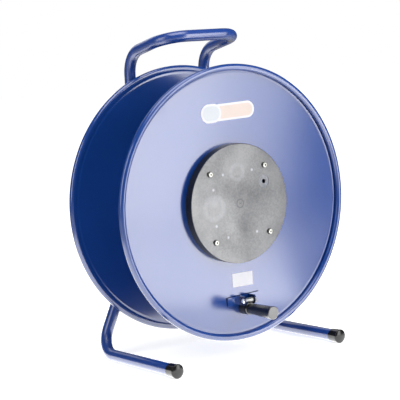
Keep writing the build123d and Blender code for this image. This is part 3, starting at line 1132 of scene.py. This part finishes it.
def floor_material():
    """Pale paper that looks white to the camera and to reflections, and keeps the shadow."""
    material = bpy.data.materials.new("studio_paper")
    tree, wiring = cleared(material)
    paper = wiring.add(
        "ShaderNodeBsdfPrincipled", {"Base Color": (0.8, 0.8, 0.8, 1.0), "Roughness": 0.9}
    )
    rays = wiring.add("ShaderNodeLightPath").outputs
    place = wiring.add("ShaderNodeTexCoord").outputs["Object"]
    reach = wiring.vector("LENGTH", place).outputs["Value"]
    behind = wiring.add("ShaderNodeSeparateXYZ", {0: place}).outputs[1]
    # The camera sees a weaker glow near the reel, where the shadow lies
    seen = wiring.math("MULTIPLY", rays["Is Camera Ray"], wiring.step(reach, 0.35, 0.9, 0.66, 1.0))
    # Reflections see the glow fade away from the reel, and behind it
    fade = wiring.math(
        "MULTIPLY", wiring.step(reach, 0.4, 0.8, 1.0, 0.12), wiring.step(behind, 0.1, 0.6, 1.0, 0.1)
    )
    mirrored = wiring.math("MULTIPLY", rays["Is Glossy Ray"], fade)
    noise = wiring.add("ShaderNodeTexNoise", {"Scale": 3.0})
    roughness = wiring.math("ADD", wiring.math("MULTIPLY", noise.outputs[0], 0.04), 0.88)
    tree.links.new(roughness, paper.inputs["Roughness"])
    paper.inputs["Emission Color"].default_value = (1.0, 1.0, 1.0, 1.0)
    tree.links.new(wiring.math("MAXIMUM", seen, mirrored), paper.inputs["Emission Strength"])
    output = wiring.add("ShaderNodeOutputMaterial")
    tree.links.new(paper.outputs[0], output.inputs["Surface"])
    return material


def room_light(fill):
    """The room: white to the camera, dim in reflections and even on everything else."""
    world = bpy.data.worlds.new("studio")
    bpy.context.scene.world = world
    tree, wiring = cleared(world)
    way = wiring.add("ShaderNodeTexCoord").outputs["Generated"]
    height = wiring.add("ShaderNodeSeparateXYZ", {0: way}).outputs[2]
    rays = wiring.add("ShaderNodeLightPath").outputs
    glossy = rays["Is Glossy Ray"]
    plain = wiring.math("MULTIPLY", wiring.math("SUBTRACT", 1.0, glossy), fill)
    mirrored = wiring.math("MULTIPLY", glossy, wiring.step(height, 0.0, 0.5, 0.12, 0.08))
    clear = wiring.math("MAXIMUM", rays["Is Camera Ray"], rays["Is Transmission Ray"])
    strength = wiring.math("MAXIMUM", wiring.math("ADD", plain, mirrored), clear)
    ground = wiring.add("ShaderNodeBackground", {"Color": (1.0, 1.0, 1.0, 1.0)})
    tree.links.new(strength, ground.inputs["Strength"])
    output = wiring.add("ShaderNodeOutputWorld")
    tree.links.new(ground.outputs[0], output.inputs["Surface"])


class REEL_OT_stage(bpy.types.Operator):
    """Sets up the camera, the pale floor and the soft lights"""

    bl_idname = "reel.stage"
    bl_label = "Studio"

    def execute(self, context):
        scene = context.scene
        sizes = scene.reel_stage
        scene.view_settings.view_transform = "Standard"

        mesh = bpy.data.meshes.new("floor")
        far = 9
        corners = [(-far, -far, 0), (far, -far, 0), (far, far, 0), (-far, far, 0)]
        mesh.from_pydata(corners, [], [(0, 1, 2, 3)])
        mesh.materials.append(floor_material())
        add_object("floor", mesh)

        # Azimuth and elevation in degrees, distance, width and height in metres, power
        area_lamp("softbox", 31.6, 10.0, 1.39, 0.56, 1.25, 0.62 * sizes.softbox, lean=-12.0)
        area_lamp("softbox_core", 24.5, 10.0, 1.37, 0.54, 1.25, 0.38 * sizes.softbox, lean=-12.0)
        area_lamp("side_light", -84.0, 21.0, 1.8, 0.9, 1.3, sizes.side)
        area_lamp("top_light", -10.0, 71.0, 1.7, 1.4, 1.4, sizes.top)
        area_lamp("back_light", 166.0, 34.0, 1.8, 1.4, 1.0, sizes.back, direct=False)
        # Panels on the floor that shine upwards, turned by degrees
        for name, x, y, width, depth, turn, watts in (
            ("light_table", -0.2, 0.075, 0.8, 0.85, 0.0, sizes.table),
            ("floor_card", 0.375, -0.738, 0.42, 0.83, 36.6, sizes.card),
        ):
            flat = area_lamp(name, 0.0, 0.0, 1.0, width, depth, watts, direct=False)
            flat.location = (x, y, 0.001)
            turned = Matrix.Rotation(radians(turn), 3, "Z").to_quaternion()
            flat.rotation_quaternion = turned @ Quaternion((0.0, 1.0, 0.0, 0.0))
        room_light(sizes.fill)

        camera = add_object("camera", bpy.data.cameras.new("camera"))
        back = direction(sizes.azimuth, sizes.elevation)
        turn = (-back).to_track_quat("-Z", "Y") @ Quaternion((0.0, 0.0, 1.0), sizes.roll)
        camera.rotation_mode = "QUATERNION"
        camera.rotation_quaternion = turn
        # The drum's middle is a little off the middle of the picture
        aside, above = -0.01297, 0.00035
        camera.location = DRUM_CENTRE + turn @ Vector((aside, above, sizes.distance))
        camera.data.lens = sizes.lens
        camera.data.sensor_width = 36.0
        camera.data.clip_start, camera.data.clip_end = 0.05, 50.0
        scene.camera = camera
        return {"FINISHED"}


class REEL_PT_panel(bpy.types.Panel):
    """Lists the reel's pieces and their settings"""

    bl_label = "Cable reel"
    bl_idname = "REEL_PT_panel"
    bl_space_type = "VIEW_3D"
    bl_region_type = "UI"
    bl_category = "Cable reel"

    def draw(self, context):
        for operator, settings in STEPS:
            box = self.layout.box()
            box.operator(operator)
            group = getattr(context.scene, settings)
            for name in group.bl_rna.properties.keys():
                if name not in ("rna_type", "name"):
                    box.prop(group, name)


STEPS = (
    ("reel.flanges", "reel_sheet"),
    ("reel.painted_parts", "reel_paint"),
    ("reel.tube", "reel_tube"),
    ("reel.hub_plates", "reel_plastic"),
    ("reel.screws", "reel_steel"),
    ("reel.crank", "reel_steel"),
    ("reel.labels", "reel_label"),
    ("reel.stage", "reel_stage"),
)
GROUPS = {
    "reel_paint": ReelPaintSettings,
    "reel_plastic": ReelPlasticSettings,
    "reel_steel": ReelSteelSettings,
    "reel_tube": ReelTubeSettings,
    "reel_sheet": ReelSheetSettings,
    "reel_label": ReelLabelSettings,
    "reel_stage": ReelStageSettings,
}
CLASSES = (
    *GROUPS.values(),
    REEL_OT_flanges,
    REEL_OT_tube,
    REEL_OT_painted_parts,
    REEL_OT_hub_plates,
    REEL_OT_screws,
    REEL_OT_crank,
    REEL_OT_labels,
    REEL_OT_stage,
    REEL_PT_panel,
)


def register():
    for item in CLASSES:
        bpy.utils.register_class(item)
    for name, group in GROUPS.items():
        setattr(bpy.types.Scene, name, PointerProperty(type=group))


def unregister():
    for name in GROUPS:
        delattr(bpy.types.Scene, name)
    for item in reversed(CLASSES):
        bpy.utils.unregister_class(item)


def main():
    register()
    bpy.ops.reel.flanges()
    bpy.ops.reel.painted_parts()
    bpy.ops.reel.tube()
    bpy.ops.reel.hub_plates()
    bpy.ops.reel.screws()
    bpy.ops.reel.crank()
    bpy.ops.reel.labels()
    bpy.ops.reel.stage()


if __name__ == "__main__":
    main()
